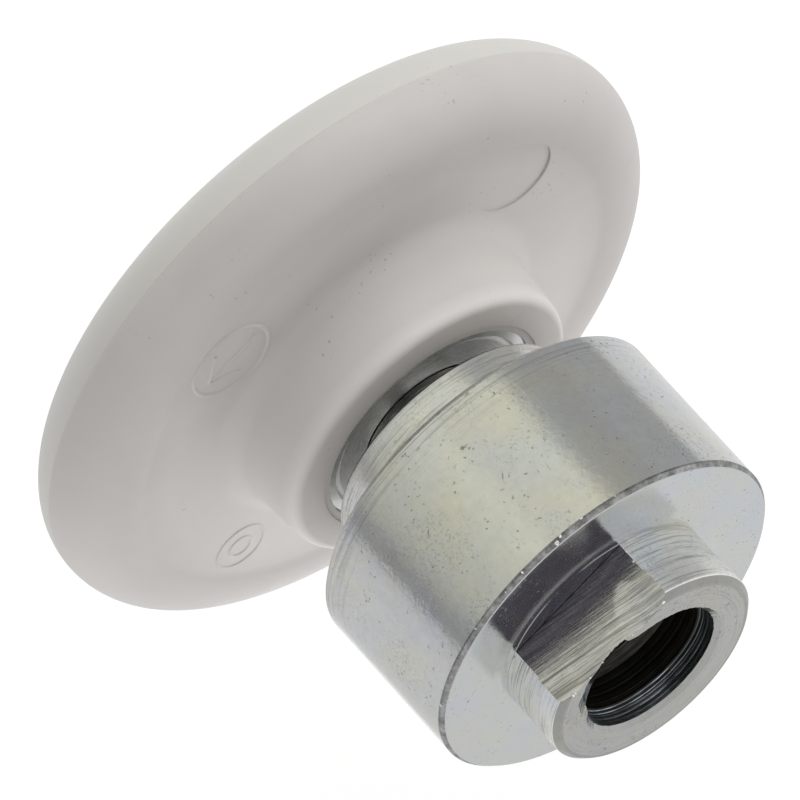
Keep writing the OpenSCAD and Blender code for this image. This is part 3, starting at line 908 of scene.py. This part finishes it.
def recess(obj, centre, r, depth):
    """Sink a round pocket into the wheel's near face, with its floor parallel to the face."""
    steps = 72
    verts, faces = [], []
    angles = np.linspace(0, 2 * math.pi, steps, endpoint=False)
    for share in (0.0, 0.35, 0.7, 1.0):
        x = centre[0] + r * share * np.sin(angles)
        z = centre[1] + r * share * np.cos(angles)
        floor_y = near_face(np.hypot(x, z)) + depth
        verts += list(zip(x, floor_y, z)) if share else [(centre[0], floor_y[0], centre[1])]
    top = NEAR_WEB - 4      # well clear of the face
    base = len(verts)
    verts += [(centre[0] + r * math.sin(a), top, centre[1] + r * math.cos(a)) for a in angles]
    for j in range(steps):
        k = (j + 1) % steps
        faces.append((0, 1 + k, 1 + j))
        for ring_start in (1, 1 + steps):
            faces.append((ring_start + j, ring_start + k, ring_start + steps + k, ring_start + steps + j))
        last = 1 + 2 * steps
        faces.append((last + j, last + k, base + k, base + j))
    faces.append([base + j for j in range(steps)])
    cutter = placed("pocket", solid("pocket", np.array(verts), faces))
    cut = obj.modifiers.new("pocket", "BOOLEAN")
    cut.operation, cut.solver, cut.object = "DIFFERENCE", "EXACT", cutter
    evaluated = obj.evaluated_get(bpy.context.evaluated_depsgraph_get())
    result = bpy.data.meshes.new_from_object(evaluated)
    obj.modifiers.clear()
    obj.data = result
    smooth(result, SHARP)
    bpy.data.objects.remove(cutter)


# Centres of the marks on the wheel's near face, as (x, z).
DATE_MARK = (-5.6, 19.1)
PIN_MARK = (-19.6, -5.75)
GATE_MARK = (19.7, 4.9)
# The arrow points to -X: where its shaft runs, and its head's back, length and half width, in mm.
SHAFT_START, SHAFT_END = 2.9, -2.2
HEAD_BACK, HEAD_L, HEAD_W = 0.4, 2.2, 2.4

wheel_piece = wheel()
recess(wheel_piece, GATE_MARK, r=3.8, depth=0.18)
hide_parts("wheel")
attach(wheel_piece, "wheel")

ridge("wheel_mark_ring_1", circle_path(DATE_MARK, 3.8), width=0.42, height=0.19, closed=True)
ridge("wheel_mark_ring_2", circle_path(PIN_MARK, 2.4), width=0.38, height=0.12, closed=True)
ridge("wheel_mark_ring_3", circle_path(PIN_MARK, 1.1), width=0.45, height=0.12, closed=True)
arrow_x, arrow_z = DATE_MARK
arrow_shaft = [(arrow_x + t, arrow_z) for t in np.linspace(SHAFT_START, SHAFT_END, 12)]
arrow_head = [(arrow_x - HEAD_BACK - HEAD_L * (1 - abs(t)), arrow_z + HEAD_W * t)
              for t in np.linspace(-1, 1, 21)]
ridge("wheel_mark_arrow_shaft", arrow_shaft, width=0.40, height=0.18, closed=False)
ridge("wheel_mark_arrow_head", arrow_head, width=0.40, height=0.18, closed=False)

# ---- Bearings and retaining ring: the CAD's own shapes with finished surfaces ----

FINISHES = {
    "bearing_steel": steel("ground_ring", (0.62, 0.62, 0.61), 0.16),
    "ball_steel": steel("polished_ball", (0.72, 0.72, 0.73), 0.05, lines=0.02),
    "shield_sheet": steel("pressed_shield", (0.50, 0.50, 0.49), 0.28, lines=0.2),
    "cage_sheet": steel("pressed_cage", (0.58, 0.57, 0.54), 0.30, lines=0.1),
    "rivet_steel": steel("rivet_wire", (0.52, 0.51, 0.50), 0.32),
    "spring_steel": steel("phosphated_spring", (0.16, 0.16, 0.17), 0.42, lines=0.15),
}
for part in frame["record"]["subparts"]:
    if part["material_slot"] in FINISHES:
        obj = frame["nodes"][part["node"]]
        for slot in obj.material_slots:
            slot.link = "OBJECT"
            slot.material = FINISHES[part["material_slot"]]

# ---- Floor, light and camera ----

# The floor's tone in the metal, by x in mm, behind the boss. The white sheet ends at 68 mm.
FLOOR_BEHIND = ((-100, 0.66), (-60, 0.64), (-36, 0.67), (-29, 0.95), (0, 0.95), (14, 0.80), (25, 0.79),
                (67, 0.66), (69, 0.39), (100, 0.39))
FLOOR_REACH = 100                       # where those places end, in mm
FLOOR_FRONT = (0.86, 0.92)              # its tone in the metal before the boss, left and right
FLOOR_GLOW = (1.42, 0.98)               # the light it throws back on the plastic, left and right
FLOOR_WHITE, FLOOR_PLAIN = 1.24, 0.85   # what the camera sees: a glow, mixed with a surface that takes shadow
FLOOR_WHITE_SHARE = 0.72

lo, hi = cad_box
bpy.ops.mesh.primitive_grid_add(x_subdivisions=2, y_subdivisions=2, size=6, location=(0, 0, lo.z))
floor = bpy.context.object
floor.name = "floor"


def floor_material():
    """White to the camera, with a soft shadow; another tone to the metal and to the plastic."""
    s = Shader(bpy.data.materials.new("floor"))
    path = s.tree.nodes.new("ShaderNodeLightPath").outputs
    x, y, _ = s.xyz(s.add("ShaderNodeNewGeometry", outputs="Position"))
    behind = s.ramp(s.between(x, -FLOOR_REACH * MM, FLOOR_REACH * MM),
                    [((v + FLOOR_REACH) / (2 * FLOOR_REACH), tone) for v, tone in FLOOR_BEHIND])
    front = s.between(x, -0.004, 0.002, *FLOOR_FRONT)
    share = s.between(y, -0.004, 0.012)
    seen = s.math("MULTIPLY_ADD", share, s.math("SUBTRACT", behind, front), front)
    plain = s.add("ShaderNodeBsdfDiffuse", inputs={"Color": grey(FLOOR_PLAIN)})
    strength = s.between(x, -0.03, 0.03, *FLOOR_GLOW)
    glow = s.add("ShaderNodeEmission", inputs={"Color": grey(1), "Strength": strength})
    white = s.add("ShaderNodeEmission", inputs={"Color": grey(1), "Strength": FLOOR_WHITE})
    mirrored = s.add("ShaderNodeEmission", inputs={"Color": grey(1), "Strength": seen})
    camera = s.mix_shaders(FLOOR_WHITE_SHARE, plain, white)
    surface = s.mix_shaders(path["Is Camera Ray"], glow, camera)
    return s.output(s.mix_shaders(path["Is Glossy Ray"], surface, mirrored))


floor.data.materials.append(floor_material())

# The room in the metal, as (angle from +Z towards +X in degrees, tone, blue's share of it).
ROOM_STRIPS = ((-180, 0.66, 1.0), (-120, 0.65, 1.0), (-82, 0.63, 1.05), (-71, 0.57, 1.05), (-67, 0.31, 1.03),
               (-60, 0.31, 1.0), (-52, 0.42, 0.96), (-42, 0.52, 0.90), (-22, 0.60, 0.89), (-2, 0.71, 0.86),
               (8, 0.75, 0.86), (18, 0.68, 0.90), (50, 0.75, 0.87), (62, 0.41, 0.94), (78, 0.37, 0.97),
               (180, 0.40, 0.98))
ROOM_FRONT = 0.85                       # its tone ahead of the boss
DARK_DISC = (0.0, -0.416, 0.909)        # the way to a dark disc that the metal mirrors
DARK_DISC_EDGE = (0.32, 0.46)
DARK_DISC_TINT = (0.108, 0.094, 0.122)
FILL_BY_HEIGHT = (0.43, 0.27)           # the light on the plastic from the horizon, and from above
FILL_BY_SIDE = (1.6, 0.5)               # its share from the sides, and from ahead and behind


def studio():
    """White to the camera; to polished metal, a grey room with long soft strips that run along Y."""
    s = Shader(bpy.data.worlds.new("studio"))
    path = s.tree.nodes.new("ShaderNodeLightPath").outputs
    x, y, z = s.xyz(s.add("ShaderNodeTexCoord", outputs="Generated"))
    turn = s.math("ARCTAN2", x, z)
    share = s.between(turn, -math.pi, math.pi)
    room = s.ramp(share, [((a + 180) / 360, (v, v, v * blue)) for a, v, blue in ROOM_STRIPS])
    room = s.mix(s.between(y, -0.15, 0.15, 1.0, 0.0), room, grey(ROOM_FRONT))
    off = s.add("ShaderNodeVectorMath", outputs="Value", operation="DISTANCE",
                inputs={0: s.vector(x, y, z), 1: DARK_DISC})
    room = s.mix(s.between(off, *DARK_DISC_EDGE, 1.0, 0.0), room, opaque(DARK_DISC_TINT))
    mirrored = s.add("ShaderNodeBackground", inputs={"Color": room, "Strength": 1.0})
    white = s.add("ShaderNodeBackground", inputs={"Color": grey(1), "Strength": 1.0})
    by_height = s.between(z, 0.0, 1.0, *FILL_BY_HEIGHT)
    by_side = s.between(s.math("ABSOLUTE", y), 0.0, 1.0, *FILL_BY_SIDE)
    strength = s.math("MULTIPLY", by_height, by_side)
    fill = s.add("ShaderNodeBackground", inputs={"Color": grey(1), "Strength": strength})
    surface = s.mix_shaders(path["Is Camera Ray"], fill, white)
    surface = s.mix_shaders(path["Is Transmission Ray"], surface, white)
    return s.output(s.mix_shaders(path["Is Glossy Ray"], surface, mirrored))


bpy.context.scene.world = studio()


def heading(azimuth, elevation):
    """The way out at an azimuth and elevation in radians. Azimuth 0 is at -Y and a quarter turn is +X."""
    return Vector((math.sin(azimuth) * math.cos(elevation),
                   -math.cos(azimuth) * math.cos(elevation), math.sin(elevation)))


LAMP_DISTANCE = 0.8
LAMP_SIZE = 0.6
LAMP_AIM = Vector((0, 0.02, 0))
LAMPS = (("left_lamp", -88, -4, 1.2), ("right_lamp", 90, 40, 2.1), ("back_lamp", 140, 45, 1.0))


def softbox(name, azimuth, elevation, power):
    """An area lamp that looks at the object and doesn't show in the metal. Angles are in degrees."""
    back = heading(math.radians(azimuth), math.radians(elevation))
    lamp = bpy.data.lights.new(name, "AREA")
    lamp.shape = "DISK"
    lamp.size = LAMP_SIZE
    lamp.energy = power
    obj = placed(name, lamp)
    obj.location = LAMP_AIM + back * LAMP_DISTANCE
    obj.rotation_mode = "QUATERNION"
    obj.rotation_quaternion = back.to_track_quat("Z", "Y")
    obj.visible_glossy = False


for place in LAMPS:
    softbox(*place)

# The camera that fits the circles of the boss, body, collar, hub and rim in the photograph, in metres.
CAMERA_AIM = Vector((0.000145, 0.025194, 0.004004))
CAMERA_DISTANCE = 1.03003
CAMERA_AZIMUTH = math.radians(17.6787)
CAMERA_ELEVATION = math.radians(62.6606)
CAMERA_ROLL = math.radians(-62.0192)
CAMERA_LENS = 565.14
CAMERA_SENSOR = 36

back = heading(CAMERA_AZIMUTH, CAMERA_ELEVATION)
right = Vector((math.cos(CAMERA_AZIMUTH), math.sin(CAMERA_AZIMUTH), 0))
up = back.cross(right)
turn = Matrix((right, up, back)).transposed() @ Matrix.Rotation(CAMERA_ROLL, 3, "Z")
lens = bpy.data.cameras.new("camera")
lens.sensor_width = CAMERA_SENSOR
lens.lens = CAMERA_LENS
lens.clip_start, lens.clip_end = 0.1, 10
camera = placed("camera", lens)
camera.matrix_world = Matrix.Translation(CAMERA_AIM + back * CAMERA_DISTANCE) @ turn.to_4x4()
bpy.context.scene.camera = camera
bpy.context.scene.view_settings.view_transform = "Standard"
